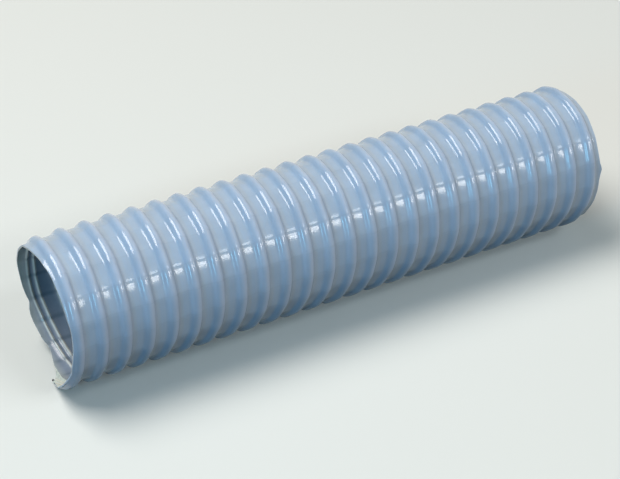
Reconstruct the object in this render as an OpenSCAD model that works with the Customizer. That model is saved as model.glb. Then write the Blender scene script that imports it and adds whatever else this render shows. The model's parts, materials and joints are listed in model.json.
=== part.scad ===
// Flexible air duct: a cut length of two-ply plastic ventilation duct, held open by a coated steel wire
// that runs in a helical rib. It lies along X, the near end at -X and the front at -Y. All sizes are in mm.
// Angles round the duct, called turns here, run in degrees from straight up towards the front.

/* [Duct] */
// Inside diameter, which is the nominal size of the duct
bore_d = 75; // [60:1:120]
// Length of the piece, from cut end to cut end
duct_length = 320; // [100:1:600]
// Number of flats that the winding rollers leave round the outer ply
flats = 18; // [16:1:24]

/* [Plies] */
// Thickness of the inner ply, a plain tube
inner_ply = 0.4; // [0.3:0.1:1]
// Thickness of the outer ply, which arches over the wire
outer_ply = 0.7; // [0.5:0.1:1.5]

/* [Wire] */
// Thickness of the spring-steel wire
wire_d = 1.2; // [0.8:0.1:1.6]
// Thickness of the plastic coating round the wire
coating = 0.45; // [0.3:0.05:0.7]
// Distance along the duct from one turn to the next
pitch = 13; // [11:0.5:20]
// Length of coated wire that stands out where the rib is cut at the near end
coated_stub = 2; // [0:0.5:6]
// Length of bare wire that stands out of the coating there
bare_stub = 1.5; // [0.5:0.5:4]
// Length of the wire that is modelled inside its coating, behind the bare end
wire_seat = 8; // [4:1:12]

/* [Rib] */
// Room in the rib over the coated wire
rib_slack = 0.3; // [0.2:0.1:1]
// Room on each side of the coated wire where the rib meets the inner ply
rib_room = 0.85; // [0.6:0.05:1.5]
// Width of the rib's foot, outside that room
rib_foot = 1.2; // [0.8:0.1:2]
// Angle from straight down towards the front at which the rib meets the near end
rib_start = 18; // [0:1:90]

/* [Hidden] */

$fn = 96;
// Sides of the round sections of the wire and of its coating
wire_sides = 6;
// Points of the arched sections of the rib and of the tunnel in it, each an even number
rib_points = 6;
tunnel_points = 4;
// Length that a cutting tool runs past what it cuts
over = 1;
// Gap between the two plies where they lie on each other
ply_gap = 0.03;
// Gap between the coated wire and the inner ply
seat_gap = 0.05;
// Gap between the wire and its coating
core_gap = 0.03;

sheath_d = wire_d + 2 * coating;
tunnel_w = sheath_d + 2 * rib_room;
rib_w = tunnel_w + 2 * rib_foot;

// Radii of the helical pieces are measured to the middle of a flat
inner_r = bore_d / 2 + inner_ply;
seat_r = inner_r + ply_gap;
panel_r = seat_r + outer_ply;
wire_r = inner_r + seat_gap + sheath_d / 2;
tunnel_r = wire_r + sheath_d / 2 + rib_slack;
crest_r = tunnel_r + outer_ply;
// Each turn of the rib rests on its bottom flat
axis_z = crest_r;

flat_angle = 360 / flats;
first_crease = 180 - flat_angle / 2;
rib_meets_near_end = 180 - rib_start;
rib_ends = rib_meets_near_end - 360 * duct_length / pitch;

// Distance from the near end to the crest of the rib, a given number of pitches on
function crest_x(turn, pitches = 0) = pitch * (pitches - (turn - rib_meets_near_end) / 360);

// Point at a distance from the near end, where the flat nearest to it has the given radius
function duct_point(x, turn, flat_r) =
    let (t = (turn - first_crease) / flat_angle, r = flat_r / cos((t - floor(t) - 0.5) * flat_angle))
    [x - duct_length / 2, -r * sin(turn), axis_z + r * cos(turn)];

// Angle round the duct that a length of wire takes
function wire_angle(length) = length / wire_r * 180 / PI;

// Arched section with a flat top: places across the rib from foot to foot, each with its height
function arch(width, rise, count) = [
    for (i = [0:count - 1])
        let (a = 180 * (1 - i / (count - 1)))
        [width / 2 * cos(a), rise * sin(a) / cos(90 / (count - 1))]
];

// The two triangles of a four-cornered patch, less any that has no area
function patch(a, b, c, d) = [
    for (f = [[a, b, c], [a, c, d]]) if (f[0] != f[1] && f[1] != f[2] && f[2] != f[0]) f
];

function turned_over(faces) = [for (f = faces) [f[2], f[1], f[0]]];

// A helical sheet is a row of points along each crease, which follows the section turn after turn from one
// cut end to the other. These functions give the row's length, its places, and where the ends cut it.
function row_length(section) = len(section) * (ceil(duct_length / pitch) + 4);
function row_x(section, column, i) =
    crest_x(first_crease - 360 + column * flat_angle, floor(i / len(section)) - 2) + section[i % len(section)][0];
function row_starts(section) = [
    for (column = [0:flats - 1])
        len([for (i = [0:row_length(section) - 1]) if (row_x(section, column, i) <= 0) i]) - 1
];
function row_ends(section) = [
    for (column = [0:flats - 1])
        len([for (i = [0:row_length(section) - 1]) if (row_x(section, column, i) < duct_length) i])
];

// Points of a helical sheet, those beyond an end brought back to it
function sheet_points(section, flat_r) = [
    for (column = [0:flats - 1], i = [0:row_length(section) - 1])
        let (
            turn = first_crease - 360 + column * flat_angle,
            x = min(max(row_x(section, column, i), 0), duct_length),
            pitches = (x - crest_x(turn)) / pitch
        )
        duct_point(x, turn, flat_r + lookup((pitches - round(pitches)) * pitch, section))
];

// Number of a sheet's point. The column after the last is the first one, a turn of the section on.
function point_number(section, starts, ends, column, i) =
    column == flats
        ? point_number(section, starts, ends, 0, i - len(section))
        : column * row_length(section) + min(max(i, starts[column]), ends[column]);

// Faces of a sheet, seen from outside the duct, and the numbers of the points along its two rims
function sheet_faces(section, starts, ends) = [
    for (column = [0:flats - 1], i = [0:row_length(section) - 2])
        for (
            f = patch(
                point_number(section, starts, ends, column, i),
                point_number(section, starts, ends, column, i + 1),
                point_number(section, starts, ends, column + 1, i + 1),
                point_number(section, starts, ends, column + 1, i)
            )
        ) f
];
function near_rim(section, starts) = [for (j = [0:flats]) (j % flats) * row_length(section) + starts[j % flats]];
function far_rim(section, ends) = [for (j = [0:flats]) (j % flats) * row_length(section) + ends[j % flats]];

// Closed ply between an outer and an inner helical sheet, cut square at both ends
module helical_ply(outer, outside_r, inner, inside_r) {
    outer_starts = row_starts(outer);
    outer_ends = row_ends(outer);
    inner_starts = row_starts(inner);
    inner_ends = row_ends(inner);
    shift = flats * row_length(outer);
    near_out = near_rim(outer, outer_starts);
    near_in = [for (n = near_rim(inner, inner_starts)) n + shift];
    far_out = far_rim(outer, outer_ends);
    far_in = [for (n = far_rim(inner, inner_ends)) n + shift];
    polyhedron(
        points = concat(sheet_points(outer, outside_r), sheet_points(inner, inside_r)),
        faces = concat(
            sheet_faces(outer, outer_starts, outer_ends),
            [for (f = turned_over(sheet_faces(inner, inner_starts, inner_ends))) f + [shift, shift, shift]],
            [for (j = [0:flats - 1], f = patch(near_out[j], near_out[j + 1], near_in[j + 1], near_in[j])) f],
            [for (j = [0:flats - 1], f = patch(far_out[j + 1], far_out[j], far_in[j], far_in[j + 1])) f]
        )
    );
}

// Wire of a given thickness wound along the crest of the rib from one angle down to another, which lies
// beyond 0 for each turn more
module wound_wire(d, from, to) {
    first = ceil((from - first_crease) / flat_angle) - 1;
    last = floor((to - first_crease) / flat_angle) + 1;
    turns = concat([from], [for (k = [first:-1:last]) first_crease + k * flat_angle], [to]);
    s = wire_sides;
    end = s * (len(turns) - 1);
    polyhedron(
        points = [
            for (turn = turns, i = [0:s - 1])
                duct_point(
                    crest_x(turn) + d / 2 * cos(360 * i / s), turn, wire_r + d / 2 * sin(360 * i / s)
                )
        ],
        faces = concat(
            [for (i = [1:s - 2]) [0, i + 1, i]],
            [
                for (k = [0:len(turns) - 2], i = [0:s - 1])
                    for (f = patch(k * s + i, k * s + (i + 1) % s, (k + 1) * s + (i + 1) % s, (k + 1) * s + i)) f
            ],
            [for (i = [1:s - 2]) [end, end + i, end + i + 1]]
        )
    );
}

// Least gap between a helical band on the crest's path, of a given width, and its own next turns
function least_gap(flat_r, width) =
    min([
        for (i = [0:flats - 1], j = [flats / 2:2 * flats])
            norm(
                duct_point(crest_x(i * flat_angle), i * flat_angle, flat_r)
                    - duct_point(crest_x((i - j) * flat_angle), (i - j) * flat_angle, flat_r)
            )
    ]) - width;

echo(str("Least gap between turns of the coated wire: ", least_gap(wire_r, sheath_d), " mm"));
echo(str("Least gap between turns of the rib: ", least_gap(panel_r, rib_w), " mm"));

// Inner ply: the plain tube that the air runs in
module inner_wall() {
    color("#6f8ca6")
        translate([-duct_length / 2, 0, axis_z])
            rotate([0, 90, 0])
                difference() {
                    cylinder(r = inner_r, h = duct_length);
                    translate([0, 0, -over]) cylinder(d = bore_d, h = duct_length + 2 * over);
                }
}

// Outer ply: flat panels on the inner ply, and one helical rib with a tunnel for the coated wire
module outer_cover() {
    color("#a9c0d6")
        helical_ply(
            arch(rib_w, crest_r - panel_r, rib_points), panel_r,
            arch(tunnel_w, tunnel_r - seat_r, tunnel_points), seat_r
        );
}

// Coating of the wire, a little longer than the rib at the near end, with the wire's seat in that end
module wire_sheath() {
    coating_end = rib_meets_near_end + wire_angle(coated_stub);
    color("#c9d4da")
        difference() {
            wound_wire(sheath_d, coating_end, rib_ends);
            wound_wire(
                wire_d + 2 * core_gap,
                coating_end + wire_angle(over),
                coating_end - wire_angle(wire_seat + core_gap)
            );
        }
}

// Spring-steel wire that holds the duct round. Past its bare end it is modelled as far as its seat, as the
// coating hides the rest.
module spring_wire() {
    coating_end = rib_meets_near_end + wire_angle(coated_stub);
    color("#5b6064")
        wound_wire(wire_d, coating_end + wire_angle(bare_stub), coating_end - wire_angle(wire_seat));
}

inner_wall();
outer_cover();
wire_sheath();
spring_wire();
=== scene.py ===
"""Looks of a cut length of flexible air duct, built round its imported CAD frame.

The duct lies along X, its near end at -X and its front at -Y. Angles round it run from straight up
towards the front. Sizes are in millimetres, and are turned to metres where a mesh, a pattern or a lamp
is made.
"""

import json
import logging
import math
from dataclasses import dataclass, field
from enum import Enum
from typing import Callable, Sequence

import bpy
import numpy as np
from bpy.types import Material, NodeSocket, Object, World
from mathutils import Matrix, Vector

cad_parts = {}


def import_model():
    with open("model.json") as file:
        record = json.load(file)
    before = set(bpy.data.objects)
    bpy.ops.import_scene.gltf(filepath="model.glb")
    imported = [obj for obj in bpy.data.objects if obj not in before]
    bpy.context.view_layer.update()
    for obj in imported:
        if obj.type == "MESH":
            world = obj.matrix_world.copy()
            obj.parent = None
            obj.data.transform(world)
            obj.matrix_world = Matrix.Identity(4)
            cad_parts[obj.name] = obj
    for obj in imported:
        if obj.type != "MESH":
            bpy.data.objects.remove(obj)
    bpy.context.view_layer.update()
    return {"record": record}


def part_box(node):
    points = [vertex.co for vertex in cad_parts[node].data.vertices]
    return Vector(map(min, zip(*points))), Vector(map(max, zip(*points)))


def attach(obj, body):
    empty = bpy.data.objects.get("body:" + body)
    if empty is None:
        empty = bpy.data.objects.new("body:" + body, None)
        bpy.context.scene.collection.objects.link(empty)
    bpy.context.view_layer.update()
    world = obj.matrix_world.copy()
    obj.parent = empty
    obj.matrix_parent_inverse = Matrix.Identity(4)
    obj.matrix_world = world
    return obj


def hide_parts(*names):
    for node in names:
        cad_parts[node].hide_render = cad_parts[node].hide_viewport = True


MM = 0.001
BODY = "root"
# The mesh attribute that tells a ply's material where on the helix it is
PLACE = "place_along_helix"
# Edges sharper than this, in degrees, are shaded as edges
SHARP_ANGLE = 50.0
# Turns of the helix that are laid past each end, for the cuts to cut back
SPARE_TURNS = 2

# Angles round the duct, in degrees, each with a distance in mm
Table = tuple[tuple[float, float], ...]
# A section of a ply: its radius at distances from the rib's crest, all in mm
Section = Callable[[np.ndarray], np.ndarray]

log = logging.getLogger("duct")


# -------- colours


def linear(hex_colour: str) -> tuple[float, float, float, float]:
    """Turns an sRGB hex colour into Blender's linear colour.

    Args:
        hex_colour: The colour as "#rrggbb".

    Returns:
        Red, green, blue and an alpha of 1.
    """
    parts = [int(hex_colour[i : i + 2], 16) / 255 for i in (1, 3, 5)]
    red, green, blue = (
        c / 12.92 if c <= 0.04045 else ((c + 0.055) / 1.055) ** 2.4 for c in parts
    )
    return red, green, blue, 1.0


# -------- sizes


def round_curve(turns: Sequence[float], sizes: np.ndarray, at: np.ndarray) -> np.ndarray:
    """A smooth curve round the duct through given values.

    Args:
        turns: Angles of the values, rising, in degrees from 0 to 360.
        sizes: The value at each angle, along the first axis.
        at: Angles to read it at, in degrees.

    Returns:
        The values there, with the further axes of sizes at the end.
    """
    known = np.asarray(turns, dtype=float)
    known = np.concatenate([known - 360, known, known + 360])
    values = np.concatenate([sizes] * 3)
    slopes = np.gradient(values, known, axis=0)
    at = np.mod(at, 360.0)
    low = np.searchsorted(known, at, side="right") - 1
    span = (known[low + 1] - known[low]).reshape(at.shape + (1,) * (values.ndim - 1))
    share = (at - known[low]).reshape(span.shape) / span
    return (
        values[low] * (1 + 2 * share) * (1 - share) ** 2
        + slopes[low] * span * share * (1 - share) ** 2
        + values[low + 1] * share**2 * (3 - 2 * share)
        - slopes[low + 1] * span * share**2 * (1 - share)
    )


@dataclass(frozen=True)
class Settling:
    """How far the soft windings have settled along the duct from a true helix, in mm.

    Each row is an angle round the duct and the shift there at each of the stations along it. The true
    place of a settled point is found in a few passes.
    """

    passes: int = 4
    stations: tuple[float, ...] = (-150.0, -100.0, 0.0, 150.0)
    rows: tuple[tuple[float, ...], ...] = (
        (0, 0.0, 0.7, 0.8, 0.3),
        (20, 1.35, 1.6, 1.5, 0.6),
        (40, 1.9, 1.9, 1.55, 0.4),
        (60, 2.3, 2.1, 1.6, -0.1),
        (80, 2.15, 1.65, 1.05, -0.6),
        (100, 1.7, 1.0, 0.0, -1.6),
        (110, 1.3, 0.0, -0.9, -2.5),
        (120, 0.7, -0.9, -1.7, -3.0),
        (135, -0.3, -3.0, -3.8, -4.2),
        (160, -1.0, -2.8, -3.2, -3.4),
        (180, -1.2, -2.2, -2.6, -2.8),
        (200, -2.0, -1.9, -2.0, -1.6),
        (225, -3.0, -2.2, -1.8, -1.2),
        (250, -4.0, -2.4, -1.5, -0.8),
        (280, -3.2, -1.8, -0.8, 0.0),
        (320, -1.4, 0.2, 0.9, 0.9),
        (340, -0.9, 0.5, 0.9, 0.7),
    )

    def shift(self, x: np.ndarray, angle: np.ndarray) -> np.ndarray:
        """The shift at distances along and angles round the duct.

        Args:
            x: Distance along the duct, in mm.
            angle: Angle round the duct, in degrees, of the same shape.

        Returns:
            The shift, in mm.
        """
        table = np.array(self.rows)
        there = round_curve(table[:, 0], table[:, 1:], angle)
        x = np.clip(x, self.stations[0], self.stations[-1])
        moved = np.zeros(np.shape(x))
        for number, (start, end) in enumerate(zip(self.stations, self.stations[1:])):
            here = (x >= start) & (x <= end)
            share = (x - start) / (end - start)
            between = there[..., number] * (1 - share) + there[..., number + 1] * share
            moved = np.where(here, between, moved)
        return moved


@dataclass(frozen=True)
class DuctSizes:
    """Driving sizes of the duct, read from the frame where it holds them.

    The duct is cut at near_x and far_x, and the rib's crest meets the near end at the angle named
    rib_meets_near_end. The near end's top sags, and the sag dies out along the duct over its reach.
    """

    near_x: float
    far_x: float
    axis_z: float
    bore_r: float
    inner_ply_r: float
    crest_r: float
    pitch: float = 13.0
    outer_ply: float = 0.7
    rib_rise: float = 2.36
    rib_meets_near_end: float = 173.0
    settling: Settling = Settling()
    sag: float = 1.5
    sag_reach: float = 14.0
    wire_d: float = 1.2
    sheath_d: float = 2.1

    @classmethod
    def from_frame(cls, record: dict) -> "DuctSizes":
        """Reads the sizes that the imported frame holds.

        Args:
            record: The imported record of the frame.

        Returns:
            The sizes, in millimetres.
        """
        low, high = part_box("inner_wall")
        bore = next(m for m in record["mounts"] if m["name"] == "near_end")
        inner_ply_r = (high.y - low.y) / 2 / MM
        return cls(
            near_x=low.x / MM,
            far_x=high.x / MM,
            axis_z=(low.z + high.z) / 2 / MM,
            bore_r=bore["dims"]["r_mm"],
            inner_ply_r=inner_ply_r,
            crest_r=inner_ply_r + cls.outer_ply + cls.rib_rise,
        )

    @property
    def panel_r(self) -> float:
        """Outer radius of the flat panels between the ribs."""
        return self.inner_ply_r + self.outer_ply

    def along(self, x: np.ndarray, angle: np.ndarray) -> np.ndarray:
        """Place along the helix of the rib.

        Args:
            x: Distance along the duct, in mm.
            angle: Angle round the duct, in degrees.

        Returns:
            Place in pitches: a whole number on the crest of the rib.
        """
        start = x
        for _ in range(self.settling.passes):
            start = x - self.settling.shift(start, angle)
        return (start - self.near_x) / self.pitch + (angle - self.rib_meets_near_end) / 360.0

    def crest_x(self, place: np.ndarray, angle: np.ndarray) -> np.ndarray:
        """The inverse of along: x of a place along the helix at an angle."""
        x = self.near_x + self.pitch * (place - (angle - self.rib_meets_near_end) / 360.0)
        return x + self.settling.shift(x, angle)

    def point(self, x: np.ndarray, angle: np.ndarray, radius: np.ndarray) -> np.ndarray:
        """Points in metres from distances along, angles round and radii.

        Args:
            x: Distance along the duct, in mm.
            angle: Angle round the duct, in degrees.
            radius: Distance from the duct's axis, in mm.

        Returns:
            An array of points with one more dimension, in metres.
        """
        turn = np.radians(angle)
        y = -np.sin(turn) * radius
        sunk = self.sag * np.exp(-(x - self.near_x) / self.sag_reach)
        z = (self.axis_z + np.cos(turn) * radius) * (1 - sunk / (2 * self.crest_r))
        return np.stack([x * MM, y * MM, np.maximum(z, 0.0) * MM], axis=-1)


@dataclass(frozen=True)
class RollerFacets:
    """The winding rollers leave the duct very slightly many-sided, with a crease every 20 degrees.

    Each crease is pressed in a little, over a few degrees. A flatness of 1 would be truly flat, and
    the crease's share of a facet is where the flats round into each other.
    """

    count: int = 18
    first_crease: float = 5.0
    flatness: float = 0.55
    crease_share: float = 0.12
    dent_depth: float = 0.05
    dent_reach: float = 2.5
    column_places: tuple[float, ...] = (0.0, 1.25, 2.5, 5.25, 8.0, 12.5, 17.5, 18.75)

    def columns(self) -> np.ndarray:
        """Angles of the mesh's columns, which lie close together at the creases.

        Returns:
            The angles for one turn and its seam, in degrees.
        """
        creases = self.first_crease + np.arange(self.count) * 360.0 / self.count
        angles = (creases[:, None] + np.array(self.column_places)[None, :]).ravel()
        return np.append(angles, angles[0] + 360.0)

    def lift(self, angle: np.ndarray, radius: float) -> np.ndarray:
        """How far the wall stands out of its true circle.

        Args:
            angle: Angles round the duct, in degrees.
            radius: Radius of the wall there, in mm.

        Returns:
            The lift in mm, whose mean is about nil.
        """
        step = 360.0 / self.count
        offset = np.mod(angle - self.first_crease, step) - step / 2
        share = np.abs(offset) / (step / 2)
        past = np.clip(share - (1 - self.crease_share), 0, None)
        flat_share = np.minimum(share, 1 - self.crease_share)
        rounded = 2 * (1 - self.crease_share) * (past - past**2 / (2 * self.crease_share))
        half = math.radians(step / 2)
        to_crease = np.clip((step / 2 - np.abs(offset)) / self.dent_reach, 0, 1)
        dent = self.dent_depth * (1 + np.cos(math.pi * to_crease)) / 2
        # The mean of the share's square, taken off so that the mean radius stays
        mean = 1 / 3
        return self.flatness * radius * half**2 / 2 * (flat_share**2 + rounded - mean) - dent


@dataclass(frozen=True)
class CutEdge:
    """The hand-cut edge of an end: a table of how far it lies past the true end, towards +X."""

    end_x: float
    offsets: Table

    def x(self, angle: np.ndarray) -> np.ndarray:
        """Distance along the duct of the edge, in mm, at angles in degrees."""
        table = np.array(self.offsets)
        return self.end_x + round_curve(table[:, 0], table[:, 1], angle)


# -------- meshes


def add_mesh(
    name: str,
    points: np.ndarray,
    faces: Sequence[Sequence[int]],
    places: Sequence[Sequence[float]] = (),
) -> Object:
    """Makes a mesh object with smooth faces and links it to the scene.

    Args:
        name: Name of the object.
        points: Its points, in metres.
        faces: Its faces, as lists of point numbers.
        places: The place along the helix at each corner of each face, where the material reads it.

    Returns:
        The new object.
    """
    mesh = bpy.data.meshes.new(name)
    mesh.from_pydata(points.tolist(), [], faces)
    if places:
        layer = mesh.attributes.new(PLACE, "FLOAT", "CORNER")
        layer.data.foreach_set("value", [p for face in places for p in face])
    mesh.validate()
    mesh.polygons.foreach_set("use_smooth", [True] * len(mesh.polygons))
    mesh.set_sharp_from_angle(angle=math.radians(SHARP_ANGLE))
    made = bpy.data.objects.new(name, mesh)
    bpy.context.scene.collection.objects.link(made)
    return made


class Side(Enum):
    """Which side of a ply a sheet is, which sets how its faces turn."""

    OUTSIDE = 1
    INSIDE = -1


@dataclass
class HelicalSheet:
    """A sheet that follows the rib's helix, cut at both ends, as rows of points.

    Its section gives the radius at distances along the duct from the rib's crest, and its stations
    are the distances at which the rows of points lie.
    """

    sizes: DuctSizes
    facets: RollerFacets
    section: Section
    stations: Sequence[float]
    near: CutEdge
    far: CutEdge
    side: Side

    points: np.ndarray = field(init=False)
    faces: list = field(init=False)
    places: list = field(init=False)
    near_rim: list = field(init=False)
    far_rim: list = field(init=False)
    rim_places: list = field(init=False)

    def __post_init__(self) -> None:
        """Lays the points from cut to cut, then the faces between them."""
        number, place = self.lay_points()
        self.lay_faces(number, place)

    def row_places(self) -> np.ndarray:
        """Places along the helix of all the rows of points, the spare turns with them.

        Returns:
            The places, in pitches.
        """
        turns = math.ceil((self.sizes.far_x - self.sizes.near_x) / self.sizes.pitch)
        laid = range(-SPARE_TURNS, turns + SPARE_TURNS + 1)
        return np.array([turn + s / self.sizes.pitch for turn in laid for s in self.stations])

    def lay_points(self) -> tuple[np.ndarray, np.ndarray]:
        """Lays the points and notes the two rims. Rows beyond a cut end in one point on it.

        Returns:
            The number of each row's point in each column, and its place along the helix. The places
            have one column more, a turn on from the first.
        """
        sizes, angles, rows = self.sizes, self.facets.columns(), self.row_places()
        spread = np.broadcast_to(angles[:, None], (len(angles), len(rows)))
        x = sizes.crest_x(np.broadcast_to(rows[None, :], spread.shape), spread)
        near, far = self.near.x(angles)[:, None], self.far.x(angles)[:, None]
        first = ((x <= near).sum(axis=1) - 1)[:-1]
        last = (x < far).sum(axis=1)[:-1]
        x = np.clip(x, near, far)
        place = sizes.along(x, spread)
        across = (place - np.round(place)) * sizes.pitch
        radius = self.section(across) + self.facets.lift(spread, sizes.panel_r)
        grid = sizes.point(x, spread, radius)[:-1]

        kept = np.clip(np.arange(len(rows))[None, :], first[:, None], last[:, None])
        in_grid = kept + (np.arange(len(kept)) * len(rows))[:, None]
        used, number = np.unique(in_grid, return_inverse=True)
        number = number.reshape(in_grid.shape)
        self.points = grid.reshape(-1, 3)[used]
        self.near_rim, self.far_rim = number[:, 0].tolist(), number[:, -1].tolist()
        self.rim_places = [(float(row[0]), float(row[-1])) for row in place]
        return number, place

    def lay_faces(self, number: np.ndarray, place: np.ndarray) -> None:
        """Lays the faces between each column and the next.

        Args:
            number: The number of each row's point in each column.
            place: Its place along the helix, with one column more.
        """
        # One turn round the duct moves a row of points on by a whole pitch
        per_turn = len(self.stations)
        wrapped = np.concatenate([number, np.roll(number[:1], per_turn, axis=1)])
        wrapped[-1, :per_turn] = number[0, 0]
        self.faces, self.places = [], []
        columns = [list(zip(*pair)) for pair in zip(wrapped.tolist(), place.tolist())]
        for here, there in zip(columns, columns[1:]):
            for row in range(len(here) - 1):
                corners = [here[row], here[row + 1], there[row + 1], there[row]]
                # Rows that have ended on a cut share a point there, which counts once
                loop = [c for i, c in enumerate(corners) if c[0] != corners[i - 1][0]]
                if len({point for point, _ in loop}) < 3:
                    continue
                if self.side is Side.OUTSIDE:
                    loop.reverse()
                self.faces.append([point for point, _ in loop])
                self.places.append([at for _, at in loop])


def shell_of(name: str, outside: HelicalSheet, inside: HelicalSheet) -> Object:
    """Joins an outer and an inner sheet at their rims into one closed wall.

    Args:
        name: Name of the wall.
        outside: Its outer sheet.
        inside: Its inner sheet, with the same columns.

    Returns:
        The object.
    """
    shift = len(outside.points)
    faces = outside.faces + [[corner + shift for corner in face] for face in inside.faces]
    places = outside.places + inside.places
    count = len(outside.near_rim)
    for here in range(count):
        there = (here + 1) % count
        start, end = outside.rim_places[here], outside.rim_places[here + 1]
        outer, inner = outside.near_rim, inside.near_rim
        faces.append([outer[there], outer[here], inner[here] + shift, inner[there] + shift])
        places.append([end[0], start[0], start[0], end[0]])
        outer, inner = outside.far_rim, inside.far_rim
        faces.append([outer[here], outer[there], inner[there] + shift, inner[here] + shift])
        places.append([start[1], end[1], end[1], start[1]])
    return add_mesh(name, np.concatenate([outside.points, inside.points]), faces, places)


def tube_along(name: str, path: np.ndarray, radius: float, sides: int) -> Object:
    """Sweeps a round section along a path, with a flat cap at each end.

    Args:
        name: Name of the tube.
        path: The points that it follows, in metres.
        radius: Its radius, in metres.
        sides: Number of sides of the section.

    Returns:
        The object.
    """
    ahead = np.gradient(path, axis=0)
    ahead /= np.linalg.norm(ahead, axis=1)[:, None]
    lengthwise = np.array([1.0, 0.0, 0.0])
    across = np.cross(ahead, lengthwise)
    across /= np.linalg.norm(across, axis=1)[:, None]
    up = np.cross(across, ahead)
    turn = np.arange(sides) * 2 * math.pi / sides
    ring = (
        np.cos(turn)[None, :, None] * across[:, None, :]
        + np.sin(turn)[None, :, None] * up[:, None, :]
    )
    points = path[:, None, :] + ring * radius
    faces = []
    last = (len(path) - 1) * sides
    for here in range(0, last, sides):
        for side in range(sides):
            a, b = here + side, here + (side + 1) % sides
            faces.append([a, a + sides, b + sides, b])
    faces.append(list(range(sides)))
    faces.append([last + side for side in reversed(range(sides))])
    return add_mesh(name, points.reshape(-1, 3), faces)


# -------- nodes


# Settings of a Mix node, its inputs 6 and 7 the two colours, and the number of its colour output
MIXED = {"data_type": "RGBA", "blend_type": "MIX"}
MULTIPLIED = {"data_type": "RGBA", "blend_type": "MULTIPLY"}
COLOUR_OUT = 2


class Shader:
    """The node tree of a material or of the world, built by one method that adds a node."""

    def __init__(self, owner: Material | World) -> None:
        """Empties the owner's node tree.

        Args:
            owner: The material or the world.
        """
        self.owner = owner
        owner.use_nodes = True
        self.tree = owner.node_tree
        self.tree.nodes.clear()

    def node(
        self, kind: str, settings: dict | None = None, take: int | str = 0, **inputs: object
    ) -> NodeSocket | None:
        """Adds a node with its settings and links.

        Args:
            kind: Blender's name of the node type, without "ShaderNode".
            settings: Properties of the node itself. "stops" holds a colour ramp's places and colours.
            take: The output to give, by number or name.
            **inputs: Its inputs, by name with spaces written as _, or by number as i0 or i1. Each is
                a value to set or an output socket to link.

        Returns:
            The output socket that take names, or None for a node without outputs.
        """
        made = self.tree.nodes.new("ShaderNode" + kind)
        settings = dict(settings or {})
        for number, (place, colour) in enumerate(settings.pop("stops", ())):
            stops = made.color_ramp.elements
            stop = stops[number] if number < len(stops) else stops.new(place)
            stop.position, stop.color = place, linear(colour)
        for key, value in settings.items():
            setattr(made, key, value)
        for key, value in inputs.items():
            numbered = key[0] == "i" and key[1:].isdigit()
            socket = made.inputs[int(key[1:])] if numbered else made.inputs[key.replace("_", " ")]
            if isinstance(value, NodeSocket):
                self.tree.links.new(value, socket)
            else:
                socket.default_value = value
        return made.outputs[take] if len(made.outputs) else None

    def seen_directly(self) -> NodeSocket:
        """Adds a mask of where the camera, a reflection or a clear piece shows the surface.

        Returns:
            The mask, 1 for those rays and 0 for the light that the surface gives.
        """
        seen = self.node("LightPath", take="Is Camera Ray")
        for ray in ("Is Glossy Ray", "Is Transmission Ray"):
            other = self.node("LightPath", take=ray)
            seen = self.node("Math", {"operation": "MAXIMUM"}, i0=seen, i1=other)
        return seen


@dataclass(frozen=True)
class Clouds:
    """Soft patches of shade in a finish, from a noise of a size in mm.

    The noise's values from low to high give shades from darkest to brightest, as shares of a colour.
    """

    size: float
    detail: float
    darkest: float
    brightest: float
    low: float = 0.3
    high: float = 0.7

    def over(self, shader: Shader, colour: NodeSocket | Sequence[float]) -> NodeSocket:
        """Varies a colour with the patches.

        Args:
            shader: The material to add them to.
            colour: The colour to vary.

        Returns:
            The varied colour.
        """
        at = shader.node("TexCoord", take="Object")
        noise = shader.node(
            "TexNoise", take="Fac", Vector=at, Scale=1 / (self.size * MM), Detail=self.detail
        )
        shade = shader.node(
            "MapRange",
            Value=noise,
            From_Min=self.low,
            From_Max=self.high,
            To_Min=self.darkest,
            To_Max=self.brightest,
        )
        grey = shader.node("CombineColor", Red=shade, Green=shade, Blue=shade)
        return shader.node("Mix", MULTIPLIED, take=COLOUR_OUT, i0=1.0, i6=colour, i7=grey)


@dataclass(frozen=True)
class Relief:
    """A calendered film's relief: fine grain over slow waves, with their sizes and depths in mm.

    The real grain is too fine to show, so it is drawn as coarse as it needs to be.
    """

    wave: float
    wave_depth: float
    grain: float = 0.5
    grain_depth: float = 0.006

    def normal(self, shader: Shader) -> NodeSocket:
        """Adds the relief.

        Args:
            shader: The material to add it to.

        Returns:
            The bumped normal.
        """
        at = shader.node("TexCoord", take="Object")
        slow = shader.node("TexNoise", take="Fac", Vector=at, Scale=1 / (self.wave * MM), Detail=1.0)
        fine = shader.node("TexNoise", take="Fac", Vector=at, Scale=1 / (self.grain * MM), Detail=2.0)
        waves = shader.node("Bump", Strength=1.0, Distance=self.wave_depth * MM, Height=slow)
        return shader.node(
            "Bump", Strength=1.0, Distance=self.grain_depth * MM, Height=fine, Normal=waves
        )


@dataclass(frozen=True)
class CreaseShade:
    """Painted shade along the rollers' creases: soft lines of a darker colour.

    Reach is how far a line goes to each side, as a share of a facet, and most is how much of its
    colour shows on the crease itself.
    """

    colour: str
    reach: float
    most: float


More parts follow.
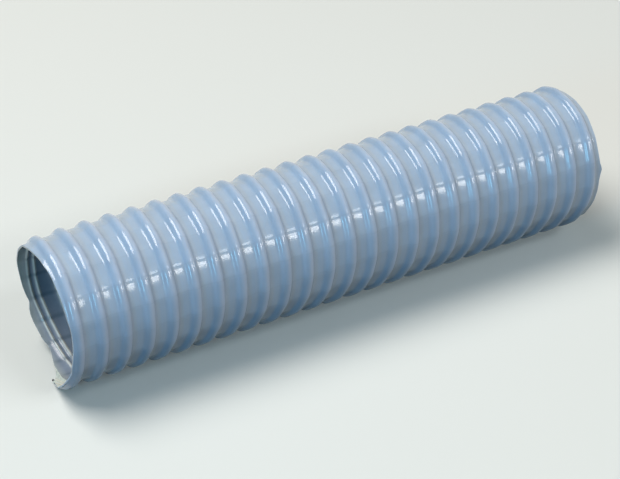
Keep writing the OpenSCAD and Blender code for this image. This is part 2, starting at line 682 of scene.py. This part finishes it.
@dataclass(frozen=True)
class WallPattern:
    """What both plies' materials share: bands that follow the helix, and painted shade at the creases.
    """

    sizes: DuctSizes
    facets: RollerFacets

    def bands(self, shader: Shader, stops: Sequence[tuple[float, str]]) -> NodeSocket:
        """Adds colours that follow the helix.

        Args:
            shader: The material to add them to.
            stops: Places over a pitch, with the crest of the rib at 0.5, each with its colour.

        Returns:
            The colour.
        """
        place = shader.node("Attribute", {"attribute_name": PLACE}, take="Fac")
        across = shader.node("Math", {"operation": "ADD"}, i0=place, i1=0.5)
        across = shader.node("Math", {"operation": "FRACT"}, i0=across)
        return shader.node("ValToRGB", {"stops": stops}, Fac=across)

    def with_crease_shade(self, shader: Shader, colour: NodeSocket, lines: CreaseShade) -> NodeSocket:
        """Paints a line of shade along each crease.

        Args:
            shader: The material to add them to.
            colour: The colour to paint the shade over.
            lines: How the painted shade looks.

        Returns:
            The colour with its painted shade.
        """
        at = shader.node("TexCoord", take="Object")
        upright = shader.node("SeparateXYZ", take="Z", Vector=at)
        sideways = shader.node("SeparateXYZ", take="Y", Vector=at)
        axis_z = self.sizes.axis_z * MM
        height = shader.node("Math", {"operation": "SUBTRACT"}, i0=upright, i1=axis_z)
        front = shader.node("Math", {"operation": "MULTIPLY"}, i0=sideways, i1=-1.0)
        turn = shader.node("Math", {"operation": "ARCTAN2"}, i0=front, i1=height)
        per_radian = self.facets.count / (2 * math.pi)
        facets = shader.node("Math", {"operation": "MULTIPLY"}, i0=turn, i1=per_radian)
        first = self.facets.first_crease * self.facets.count / 360.0
        facets = shader.node("Math", {"operation": "SUBTRACT"}, i0=facets, i1=first)
        away = shader.node("Math", {"operation": "PINGPONG"}, i0=facets, i1=0.5)
        share = shader.node(
            "MapRange",
            {"interpolation_type": "SMOOTHSTEP"},
            Value=away,
            From_Min=0.0,
            From_Max=lines.reach,
            To_Min=lines.most,
            To_Max=0.0,
        )
        line = linear(lines.colour)
        return shader.node("Mix", MIXED, take=COLOUR_OUT, i0=share, i6=colour, i7=line)


# -------- finishes


@dataclass(frozen=True)
class CoverPvc:
    """Plasticised PVC sheet, calendered and wound on warm.

    Calendering leaves a semi-gloss skin with a slight waviness, so lamps mirror as streaks with soft
    edges. The sheet is a little milky: it looks greyer where it is bonded and bluer over the hollow rib.
    The blue band on the rib's flank towards the near end is partly that and partly painted light: the
    bluish light from the left. The paler crest and far flank are a painted sheen of the bright room, and
    the far foot's duller grey is painted shade beside the rib.
    Light spreads under its skin as far as its depth, in mm, and least in red.
    """

    pattern: WallPattern
    panel: str = "#a2b6cc"
    # The flank's blue is partly the film's own over the hollow rib and partly painted light from the
    # left
    flank: str = "#94adc8"
    # Painted sheen: the crest and the far flank are painted paler, for the bright room they mirror at a
    # glancing angle
    crest: str = "#acbed6"
    painted_far_flank_sheen: str = "#b5c4d9"
    # Painted shade at the rib's far foot: a duller, warmer grey
    painted_far_foot_shade: str = "#a5b5c6"
    # Painted shade along the rollers' creases
    creases: CreaseShade = CreaseShade("#8a9cb0", reach=0.05, most=0.14)
    clouds: Clouds = Clouds(size=11.0, detail=4.0, darkest=0.94, brightest=1.05)
    relief: Relief = Relief(wave=7.0, wave_depth=0.07)
    roughness: float = 0.12
    ior: float = 1.53
    milkiness: float = 0.25
    spread: tuple[float, float, float] = (0.6, 0.8, 1.0)
    depth: float = 2.0

    def material(self) -> Material:
        """Builds the material.

        Returns:
            The material.
        """
        shader = Shader(bpy.data.materials.new("plasticised_pvc_outer_ply"))
        banded = self.pattern.bands(
            shader,
            (
                (0.12, self.panel),
                (0.28, self.flank),
                (0.38, self.flank),
                (0.53, self.crest),
                (0.64, self.painted_far_flank_sheen),
                (0.78, self.painted_far_foot_shade),
                (0.88, self.painted_far_foot_shade),
                (0.98, self.panel),
            ),
        )
        with_crease_shade = self.pattern.with_crease_shade(shader, banded, self.creases)
        surface = shader.node(
            "BsdfPrincipled",
            Base_Color=self.clouds.over(shader, with_crease_shade),
            Roughness=self.roughness,
            IOR=self.ior,
            Subsurface_Weight=self.milkiness,
            Subsurface_Radius=self.spread,
            Subsurface_Scale=self.depth * MM,
            Normal=self.relief.normal(shader),
        )
        shader.node("OutputMaterial", Surface=surface)
        return shader.owner


@dataclass(frozen=True)
class BondedFace:
    """The outer ply's inner face, where solvent has bonded it: PVC gone chalky white and half matt.

    It shows where the inner ply is cut short of it, with the streaks in which the solvent has dried.
    """

    colour: str = "#d3dad1"
    streaks: Clouds = Clouds(size=1.6, detail=2.0, darkest=0.78, brightest=1.05)
    roughness: float = 0.42
    ior: float = 1.53

    def material(self) -> Material:
        """Builds the material.

        Returns:
            The material.
        """
        shader = Shader(bpy.data.materials.new("solvent_bonded_pvc_face"))
        colour = self.streaks.over(shader, linear(self.colour))
        surface = shader.node(
            "BsdfPrincipled", Base_Color=colour, Roughness=self.roughness, IOR=self.ior
        )
        shader.node("OutputMaterial", Surface=surface)
        return shader.owner


@dataclass(frozen=True)
class LinerPvc:
    """Plasticised PVC film, calendered: smooth and glossy, a darker blue-grey inside the tube.

    Its beads, pressed up along the rib's feet, are painted paler: a painted highlight where they catch
    the light.
    It is painted paler and greyer for a few mm in from the near cut: painted light on the lip, where
    light reaches in through the mouth.
    """

    pattern: WallPattern
    panel: str = "#8b97a8"
    # Painted highlight on the beads along the rib's feet
    painted_bead_highlight: str = "#d8dad6"
    # Painted light on the lip near the cut: a paler grey that fades out over a few mm
    painted_lip_light: str = "#b4bab5"
    painted_lip_light_reach: float = 6.0
    painted_lip_light_share: float = 0.9
    # Painted shade along the rollers' creases, darker inside the tube
    creases: CreaseShade = CreaseShade("#6b7c8b", reach=0.16, most=0.65)
    clouds: Clouds = Clouds(size=9.0, detail=4.0, darkest=0.9, brightest=1.08)
    relief: Relief = Relief(wave=5.0, wave_depth=0.15)
    roughness: float = 0.2
    ior: float = 1.53

    def paint_lip_light(self, shader: Shader, colour: NodeSocket) -> NodeSocket:
        """Paints light on the film towards the near cut, as a paler grey.

        Args:
            shader: The material to add it to.
            colour: The colour to paint the light over.

        Returns:
            The colour with its painted light.
        """
        near_x = self.pattern.sizes.near_x
        at = shader.node("TexCoord", take="Object")
        along = shader.node("SeparateXYZ", take="X", Vector=at)
        share = shader.node(
            "MapRange",
            Value=along,
            From_Min=near_x * MM,
            From_Max=(near_x + self.painted_lip_light_reach) * MM,
            To_Min=self.painted_lip_light_share,
            To_Max=0.0,
        )
        grey = linear(self.painted_lip_light)
        return shader.node("Mix", MIXED, take=COLOUR_OUT, i0=share, i6=colour, i7=grey)

    def material(self) -> Material:
        """Builds the material.

        Returns:
            The material.
        """
        shader = Shader(bpy.data.materials.new("plasticised_pvc_inner_ply"))
        banded = self.pattern.bands(
            shader,
            (
                (0.26, self.panel),
                (0.31, self.painted_bead_highlight),
                (0.39, self.painted_bead_highlight),
                (0.44, self.panel),
                (0.56, self.panel),
                (0.61, self.painted_bead_highlight),
                (0.69, self.painted_bead_highlight),
                (0.74, self.panel),
            ),
        )
        with_crease_shade = self.pattern.with_crease_shade(shader, banded, self.creases)
        surface = shader.node(
            "BsdfPrincipled",
            Base_Color=self.clouds.over(shader, self.paint_lip_light(shader, with_crease_shade)),
            Roughness=self.roughness,
            IOR=self.ior,
            Normal=self.relief.normal(shader),
        )
        shader.node("OutputMaterial", Surface=surface)
        return shader.owner


@dataclass(frozen=True)
class CoatingPvc:
    """PVC coating, extruded on the wire: pale grey and slightly milky, with faint flow marks."""

    colour: str = "#d2d6cd"
    flow_marks: Clouds = Clouds(
        size=2.5, detail=3.0, darkest=0.88, brightest=1.04, low=0.0, high=1.0
    )
    roughness: float = 0.35
    ior: float = 1.53
    milkiness: float = 0.2
    depth: float = 1.0

    def material(self) -> Material:
        """Builds the material.

        Returns:
            The material.
        """
        shader = Shader(bpy.data.materials.new("extruded_pvc_wire_coating"))
        surface = shader.node(
            "BsdfPrincipled",
            Base_Color=self.flow_marks.over(shader, linear(self.colour)),
            Roughness=self.roughness,
            IOR=self.ior,
            Subsurface_Weight=self.milkiness,
            Subsurface_Scale=self.depth * MM,
        )
        shader.node("OutputMaterial", Surface=surface)
        return shader.owner


@dataclass(frozen=True)
class SpringSteel:
    """Drawn spring steel with its dark phosphate skin, so it glints dully along fine draw lines.

    Real draw lines are too fine to show, so they are drawn as coarse as they need to be.
    """

    colour: str = "#5a5a58"
    roughness: float = 0.38
    roughness_spread: float = 0.1
    draw_line: float = 0.4

    def material(self) -> Material:
        """Builds the material.

        Returns:
            The material.
        """
        shader = Shader(bpy.data.materials.new("drawn_spring_steel"))
        at = shader.node("TexCoord", take="Object")
        lines = shader.node(
            "TexNoise", take="Fac", Vector=at, Scale=1 / (self.draw_line * MM), Detail=2.0
        )
        rough = shader.node(
            "MapRange",
            Value=lines,
            To_Min=self.roughness - self.roughness_spread,
            To_Max=self.roughness + self.roughness_spread,
        )
        surface = shader.node(
            "BsdfPrincipled", Base_Color=linear(self.colour), Metallic=1.0, Roughness=rough
        )
        shader.node("OutputMaterial", Surface=surface)
        return shader.owner


# -------- the duct


def dress(piece: Object, node: str, materials: Sequence[Material]) -> Object:
    """Gives a piece its materials and ties it to the frame.

    Args:
        piece: The piece.
        node: The CAD node that it stands for.
        materials: Its materials, in the order in which its faces number them.

    Returns:
        The piece.
    """
    for material in materials:
        piece.data.materials.append(material)
    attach(piece, BODY)
    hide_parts(node)
    return piece


@dataclass
class DuctWall:
    """The two plies of the wall, cut by hand at both ends.

    The tables of the cuts tell how far an edge lies past the true end, towards +X. The inner ply is
    cut as the outer one is, except where it is shorter and bares the wire's end.
    """

    sizes: DuctSizes
    facets: RollerFacets = RollerFacets()
    crest_arc_r: float = 3.1
    foot_arc_r: float = 2.1
    arc_steps: int = 4
    ply_gap: float = 0.05
    tunnel_row: float = 0.7
    bead_rise: float = 0.75
    bead_half_width: float = 1.15
    bead_place: float = 1.95
    bead_rows: tuple[float, ...] = (-1, -0.6, -0.3, 0, 0.3, 0.6, 1)
    groove_depth: float = 0.25
    seam_margin: float = 0.2
    near_cut: Table = (
        (9, 1.1), (18, 1.9), (27, 2.15), (42, 2.5), (59, 2.5), (67, 2.85), (75, 2.6), (83, 2.05),
        (91, 1.45), (99, 0.7), (107, 0.1), (113, -0.6), (118, -1.8), (125, -3.2), (135, -4.0),
        (143, -4.0), (155, -3.2), (166, -2.2), (169, -1.0), (174, 0.9), (182, 2.2), (191, 3.2),
        (198, 3.95), (203, 3.97), (209, 2.65), (219, 1.6), (226, 0.9), (234, 0.5), (239, 0.9),
        (243, 1.7), (249, 0.9), (257, 0.1), (269, -0.5), (280, -1.1), (291, -1.3), (303, -1.1),
        (320, -0.9), (347, -0.5), (358, 0.5),
    )  # fmt: skip
    bared: Table = (
        (113, 0.4), (118, 1.0), (125, 2.2), (135, 3.2), (143, 3.2), (155, 2.6), (166, 2.2),
        (169, 2.2), (174, 2.2),
    )  # fmt: skip
    far_cut: Table = (
        (0, 4.0), (25, 3.9), (45, 2.9), (60, 2.1), (67, 2.0), (73, 2.8), (79, 1.2), (95, 0.2),
        (110, -1.0), (130, -1.8), (160, -2.6), (200, -1.4), (240, 0.4), (280, 1.2), (320, 2.6),
    )  # fmt: skip

    @property
    def slope_limit(self) -> float:
        """Slope, in radians, where the crest's arc meets the foot's arc."""
        both = self.crest_arc_r + self.foot_arc_r
        return math.acos(1 - self.sizes.rib_rise / both)

    @property
    def foot_end(self) -> float:
        """Distance from the crest to where the rib's foot meets the panel."""
        return (self.crest_arc_r + self.foot_arc_r) * math.sin(self.slope_limit)

    @property
    def tunnel_arc_r(self) -> float:
        """Radius of the arch of the tunnel under the rib."""
        return self.crest_arc_r - self.sizes.outer_ply

    @property
    def seam(self) -> float:
        """Distance from the crest of the last row of points, just short of the next pitch."""
        return self.sizes.pitch / 2 - self.seam_margin

    def rib_rise(self, across: np.ndarray) -> np.ndarray:
        """Height of the rib over the panels, from two arcs that meet in line.

        Args:
            across: Distance from the crest along the duct, in mm.

        Returns:
            The height, in mm.
        """
        away = np.abs(across)
        meet = self.crest_arc_r * math.sin(self.slope_limit)
        top = self.sizes.rib_rise - self.crest_arc_r + np.sqrt(
            np.clip(self.crest_arc_r**2 - np.minimum(away, meet) ** 2, 0, None)
        )
        to_foot = np.clip(self.foot_end - away, 0, self.foot_arc_r)
        low = self.foot_arc_r - np.sqrt(self.foot_arc_r**2 - to_foot**2)
        return np.where(away < meet, top, low)

    def groove(self, across: np.ndarray) -> np.ndarray:
        """Depth in mm to which the inner ply is drawn out under the rib."""
        return self.groove_depth * np.clip(1 - (across / self.bead_place) ** 2, 0, None)

    def cover_outside(self, across: np.ndarray) -> np.ndarray:
        """Radius of the outside of the outer ply, in mm."""
        return self.sizes.panel_r + self.rib_rise(across)

    def cover_inside(self, across: np.ndarray) -> np.ndarray:
        """Radius of the inside of the outer ply, which leaves a tunnel under the rib.

        Args:
            across: Distance from the crest along the duct, in mm.

        Returns:
            The radius, in mm.
        """
        arc_r = self.tunnel_arc_r
        rise = self.sizes.rib_rise - arc_r + np.sqrt(np.clip(arc_r**2 - across**2, 0, None))
        rise = np.where(np.abs(across) < arc_r, np.maximum(rise, 0), 0)
        return self.sizes.inner_ply_r + self.ply_gap + rise

    def liner_outside(self, across: np.ndarray) -> np.ndarray:
        """Radius of the outside of the inner ply, in mm."""
        return self.sizes.inner_ply_r + self.groove(across)

    def liner_inside(self, across: np.ndarray) -> np.ndarray:
        """Radius of the inside of the inner ply, with a bead at each foot of the rib.

        Args:
            across: Distance from the crest along the duct, in mm.

        Returns:
            The radius, in mm.
        """
        beads = np.zeros_like(across)
        for centre in (-self.bead_place, self.bead_place):
            share = np.clip(np.abs(across - centre) / self.bead_half_width, 0, 1)
            beads += self.bead_rise * (1 - share**2) ** 2
        return self.sizes.bore_r - beads + self.groove(across)

    def sheet(
        self, side: Side, section: Section, rows: Sequence[float], near: Table
    ) -> HelicalSheet:
        """Lays one side of a ply.

        Args:
            side: The side.
            section: Its radius at distances from the crest, both in mm.
            rows: Distances from the crest, from nil up, of its rows of points to either side.
            near: The table of its near cut.

        Returns:
            The sheet.
        """
        return HelicalSheet(
            sizes=self.sizes,
            facets=self.facets,
            section=section,
            stations=[-row for row in reversed(rows)] + list(rows[1:]),
            near=CutEdge(self.sizes.near_x, near),
            far=CutEdge(self.sizes.far_x, self.far_cut),
            side=side,
        )

    def cover(self) -> Object:
        """Builds the outer ply as a closed wall, its inside numbered for a second material.

        Returns:
            The object.
        """
        steps = self.arc_steps
        rises = [math.sin(self.slope_limit * step / steps) for step in range(steps + 1)]
        crest = [self.crest_arc_r * rise for rise in rises]
        foot = [self.foot_end - self.foot_arc_r * rise for rise in reversed(rises[:-1])]
        tunnel = [0.0, self.tunnel_arc_r * self.tunnel_row, self.tunnel_arc_r, self.seam]
        outside = self.sheet(
            Side.OUTSIDE, self.cover_outside, [*crest, *foot, self.seam], self.near_cut
        )
        inside = self.sheet(Side.INSIDE, self.cover_inside, tunnel, self.near_cut)
        made = shell_of("outer_cover_skin", outside, inside)
        first = len(outside.faces)
        for number in range(first, first + len(inside.faces)):
            made.data.polygons[number].material_index = 1
        return made

    def liner(self) -> Object:
        """Builds the inner ply as a closed wall.

        Returns:
            The object.
        """
        bared = dict(self.bared)
        near = tuple((angle, bared.get(angle, offset)) for angle, offset in self.near_cut)
        bead = [self.bead_place + self.bead_half_width * row for row in self.bead_rows]
        backing = [0.0, self.bead_place, self.seam]
        outside = self.sheet(Side.OUTSIDE, self.liner_outside, backing, near)
        inside = self.sheet(Side.INSIDE, self.liner_inside, [0.0, *bead, self.seam], near)
        return shell_of("inner_wall_skin", outside, inside)

    def build(self) -> list[Object]:
        """Builds and dresses both plies.

        Returns:
            The outer ply and the inner ply.
        """
        pattern = WallPattern(self.sizes, self.facets)
        two_faced = [CoverPvc(pattern).material(), BondedFace().material()]
        return [
            dress(self.cover(), "outer_cover", two_faced),
            dress(self.liner(), "inner_wall", [LinerPvc(pattern).material()]),
        ]


@dataclass
class CoatedWire:
    """The coated spring-steel wire in the rib's tunnel, its end sprung out of the near cut.

    The coating and the bare tip start at two angles round the duct. From the angle in spring_from on,
    both have sprung out of the rib, towards -X.
    """

    sizes: DuctSizes
    steps_per_turn: int = 60
    coating_sides: int = 14
    wire_sides: int = 10
    seat_gap: float = 0.1
    coating_start: float = 163.0
    tip_start: float = 167.0
    spring_out: float = 1.6
    spring_from: float = 140.0

    def path(self, start: float) -> np.ndarray:
        """The wire's path from its near tip to the far end.

        Args:
            start: Angle of the tip round the duct, in degrees.

        Returns:
            Its points, in metres.
        """
        sizes = self.sizes
        turns = (sizes.far_x - sizes.near_x) / sizes.pitch
        last = sizes.rib_meets_near_end - 360.0 * turns
        count = int(self.steps_per_turn * turns)
        angle = np.linspace(start, last, count)
        radius = sizes.inner_ply_r + self.seat_gap + sizes.sheath_d / 2
        x = sizes.crest_x(np.zeros(count), angle)
        out = np.clip((angle - self.spring_from) / (start - self.spring_from), 0, 1)
        x = x - self.spring_out * out**2
        return sizes.point(x, angle, np.full(count, radius))

    def coating(self) -> Object:
        """Builds the wire's coating."""
        radius = self.sizes.sheath_d / 2 * MM
        return tube_along("wire_coating", self.path(self.coating_start), radius, self.coating_sides)

    def wire(self) -> Object:
        """Builds the bare wire, which runs on through the coating."""
        radius = self.sizes.wire_d / 2 * MM
        return tube_along("steel_wire", self.path(self.tip_start), radius, self.wire_sides)

    def build(self) -> list[Object]:
        """Builds and dresses the coated wire.

        Returns:
            The coating and the bare wire.
        """
        return [
            dress(self.coating(), "wire_sheath", [CoatingPvc().material()]),
            dress(self.wire(), "spring_wire", [SpringSteel().material()]),
        ]


# -------- studio


@dataclass(frozen=True)
class Lamp:
    """A soft rectangular lamp: its place, its size and what it points at in mm, its power in watts."""

    name: str
    place: tuple[float, float, float]
    size: tuple[float, float]
    power: float
    colour: str = "#ffffff"
    target: tuple[float, float, float] = (0.0, 0.0, 40.0)

    def build(self) -> None:
        """Adds the lamp to the scene."""
        data = bpy.data.lights.new(self.name, "AREA")
        data.shape = "RECTANGLE"
        data.size, data.size_y = (s * MM for s in self.size)
        data.energy = self.power
        data.color = linear(self.colour)[:3]
        lamp = bpy.data.objects.new(self.name, data)
        lamp.location = Vector(self.place) * MM
        aim = Vector(self.target) * MM - lamp.location
        lamp.rotation_euler = aim.to_track_quat("-Z", "Y").to_euler()
        bpy.context.scene.collection.objects.link(lamp)


@dataclass(frozen=True)
class Studio:
    """Plain pale floor, soft lamps and the camera.

    The floor shows as it is lit as far as lit_reach, and in the backdrop's even tone from even_reach
    on. The lens and the sensor are in mm too.
    """

    camera_place: tuple[float, float, float] = (-326.0, -626.0, 577.55)
    forward: tuple[float, float, float] = (0.36107, 0.70495, -0.61047)
    lens: float = 92.9
    sensor: float = 36.0
    view_reach: float = 50_000.0
    floor_colour: str = "#dfe2de"
    floor_roughness: float = 0.75
    bounce_colour: str = "#3f413d"
    world_colour: str = "#e4f3fa"
    world_strength: float = 0.08
    backdrop_colour: str = "#e2e7e3"
    floor_size: float = 9000.0
    lit_reach: float = 700.0
    even_reach: float = 1500.0
    lights: tuple[Lamp, ...] = (
        Lamp("overhead", (-790, 590, 2120), (1680, 1100), 49.5, "#fffaf5"),
        Lamp("front_window_low", (800, -1600, 1260), (1100, 280), 9.9, "#fbfbfa", (800, 0, 40)),
        Lamp("front_window_high", (820, -1170, 1780), (1100, 330), 6.8, "#eef6fb", (820, 0, 40)),
        Lamp("left_window", (-1099, -696, 594), (430, 320), 4.0, "#84d8ff"),
        Lamp("right_wall", (1314, -568, 490), (300, 260), 1.8),
    )

    def camera(self) -> None:
        """Adds the camera, with no roll and no shift."""
        data = bpy.data.cameras.new("camera")
        data.lens = self.lens
        data.sensor_width = self.sensor
        data.clip_end = self.view_reach * MM
        data.dof.use_dof = False
        made = bpy.data.objects.new("camera", data)
        made.location = Vector(self.camera_place) * MM
        made.rotation_euler = Vector(self.forward).to_track_quat("-Z", "Y").to_euler()
        bpy.context.scene.collection.objects.link(made)
        bpy.context.scene.camera = made

    def floor(self) -> None:
        """Adds the floor, of smooth matt board that looks pale but bounces less light back up."""
        half = self.floor_size / 2 * MM
        corners = np.array([(-half, -half, 0), (half, -half, 0), (half, half, 0), (-half, half, 0)])
        floor = add_mesh("floor", corners, [[0, 1, 2, 3]])
        shader = Shader(bpy.data.materials.new("matt_board_floor"))
        direct = shader.seen_directly()
        dim, pale = linear(self.bounce_colour), linear(self.floor_colour)
        colour = shader.node("Mix", MIXED, take=COLOUR_OUT, i0=direct, i6=dim, i7=pale)
        board = shader.node("BsdfPrincipled", Base_Color=colour, Roughness=self.floor_roughness)
        even = shader.node("Emission", Color=linear(self.backdrop_colour))
        at = shader.node("TexCoord", take="Object")
        away = shader.node("VectorMath", {"operation": "LENGTH"}, take="Value", i0=at)
        share = shader.node(
            "MapRange",
            {"interpolation_type": "SMOOTHSTEP"},
            Value=away,
            From_Min=self.lit_reach * MM,
            From_Max=self.even_reach * MM,
        )
        share = shader.node("Math", {"operation": "MULTIPLY"}, i0=share, i1=direct)
        surface = shader.node("MixShader", i0=share, i1=board, i2=even)
        shader.node("OutputMaterial", Surface=surface)
        shader.owner.cycles.emission_sampling = "NONE"
        floor.data.materials.append(shader.owner)

    def world(self) -> None:
        """Sets the even light of the room, and the backdrop's tone that shows in its place."""
        bpy.context.scene.world = bpy.data.worlds.new("room")
        shader = Shader(bpy.context.scene.world)
        light = shader.node(
            "Background", Color=linear(self.world_colour), Strength=self.world_strength
        )
        backdrop = shader.node("Background", Color=linear(self.backdrop_colour))
        room = shader.node("MixShader", i0=shader.seen_directly(), i1=light, i2=backdrop)
        shader.node("OutputWorld", Surface=room)

    def build(self) -> None:
        """Builds the studio."""
        self.camera()
        self.floor()
        self.world()
        for lamp in self.lights:
            lamp.build()
        bpy.context.scene.view_settings.view_transform = "Standard"


# -------- main


def main() -> None:
    """Builds the studio and the duct, which it dresses round its frame, and reports each piece."""
    logging.basicConfig(level=logging.INFO, format="%(name)s: %(message)s")
    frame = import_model()
    sizes = DuctSizes.from_frame(frame["record"])
    Studio().build()
    for part in (DuctWall(sizes), CoatedWire(sizes)):
        for piece in part.build():
            log.info("%s: %d faces", piece.name, len(piece.data.polygons))


if __name__ == "__main__":
    main()
